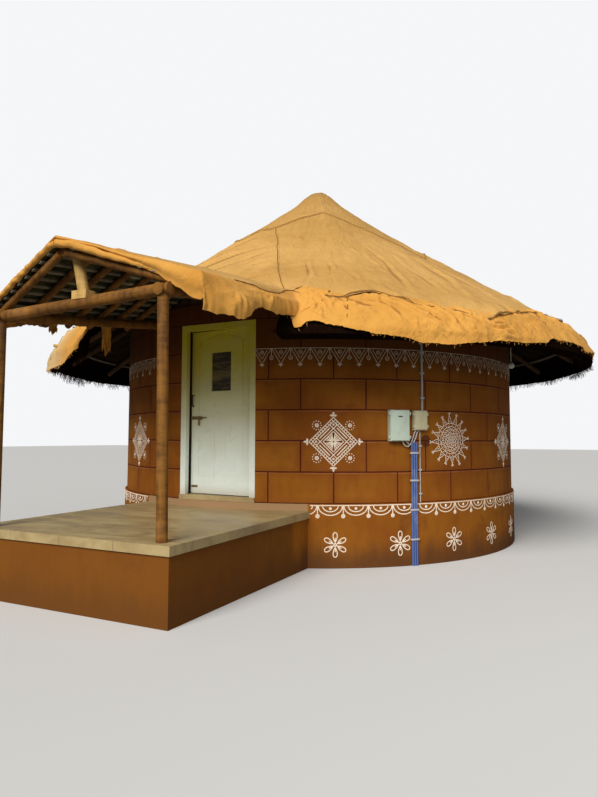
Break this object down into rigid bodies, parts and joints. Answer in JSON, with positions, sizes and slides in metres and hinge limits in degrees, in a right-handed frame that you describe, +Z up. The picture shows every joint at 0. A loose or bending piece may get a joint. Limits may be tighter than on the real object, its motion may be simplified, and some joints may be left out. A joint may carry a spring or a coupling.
{
  "type": "round thatched hut with a gabled porch",
  "caption": "Round mud-walled hut on a plinth, with a canvas-covered conical thatched roof, a gabled porch on round posts and a panelled door that swings inwards.",
  "frame": {"origin": "centre of the round hut on the ground, at the underside of the plinth", "axes": "+Z up, -Y out through the door and porch, +X to the right seen from the front"},
  "size_m": [8.2198, 9.54, 5.5883],
  "materials": {
    "mud_plaster": "painted brown mud plaster, matt, with joint lines",
    "floor": "smooth cement floor",
    "tile": "greyish beige tiles",
    "timber": "round peeled poles",
    "painted_timber": "poles painted brown",
    "bare_timber": "bare timber",
    "bamboo": "split bamboo",
    "thatch": "dry grass thatch",
    "canvas": "sun-bleached canvas",
    "hem_canvas": "orange canvas with creases",
    "door_paint": "white gloss paint",
    "pane": "dark patterned glass",
    "hardware": "dull steel",
    "black_iron": "black iron",
    "brass": "aged brass",
    "box_green": "pale green paint",
    "box_beige": "beige plastic",
    "grey_pipe": "grey plastic pipe",
    "blue_pipe": "blue plastic pipe",
    "lamp_white": "white globe on a rod"
  },
  "bodies": {
    "house": {"plinth": "mud_plaster", "floor_slab": "floor", "wall_front_right": "mud_plaster", "wall_right": "mud_plaster", "wall_back_right": "mud_plaster", "wall_back_left": "mud_plaster", "wall_left": "mud_plaster", "wall_front_left": "mud_plaster", "wall_over_door": "mud_plaster", "door_sill": "tile", "wall_plate": "timber", "main_tie_beam": "timber", "king_post": "timber", "apex_hub": "timber", "main_rafters": "timber", "roof_hoops": "bamboo", "thatch": "thatch", "roof_canvas": "canvas", "canvas_hem": "hem_canvas", "porch_base": "mud_plaster", "porch_floor": "tile", "right_post": "painted_timber", "left_post": "painted_timber", "front_tie_beam": "painted_timber", "right_eave_beam": "painted_timber", "left_eave_beam": "painted_timber", "porch_king_post": "bare_timber", "ridge_pole": "painted_timber", "ridge_chock": "bare_timber", "porch_rafters": "painted_timber", "porch_battens": "bamboo", "porch_matting": "thatch", "porch_canvas": "hem_canvas", "door_frame": "door_paint", "frame_hinges": "hardware", "meter_box": "box_green", "junction_box": "box_beige", "grey_conduits": "grey_pipe", "blue_conduits": "blue_pipe", "eave_lamp": "lamp_white"},
    "door": {"door_leaf": "door_paint", "door_glass": "pane", "leaf_hinges": "hardware", "pull_handle": "black_iron", "door_bolts": "brass"}
  },
  "joints": [
    {"name": "door_hinge", "type": "hinge", "parent": "house", "child": "door", "pos_m": [0.4675, -2.86173, 1.8], "axis": [0, 0, -1], "range_deg": [-5, 85]}
  ]
}
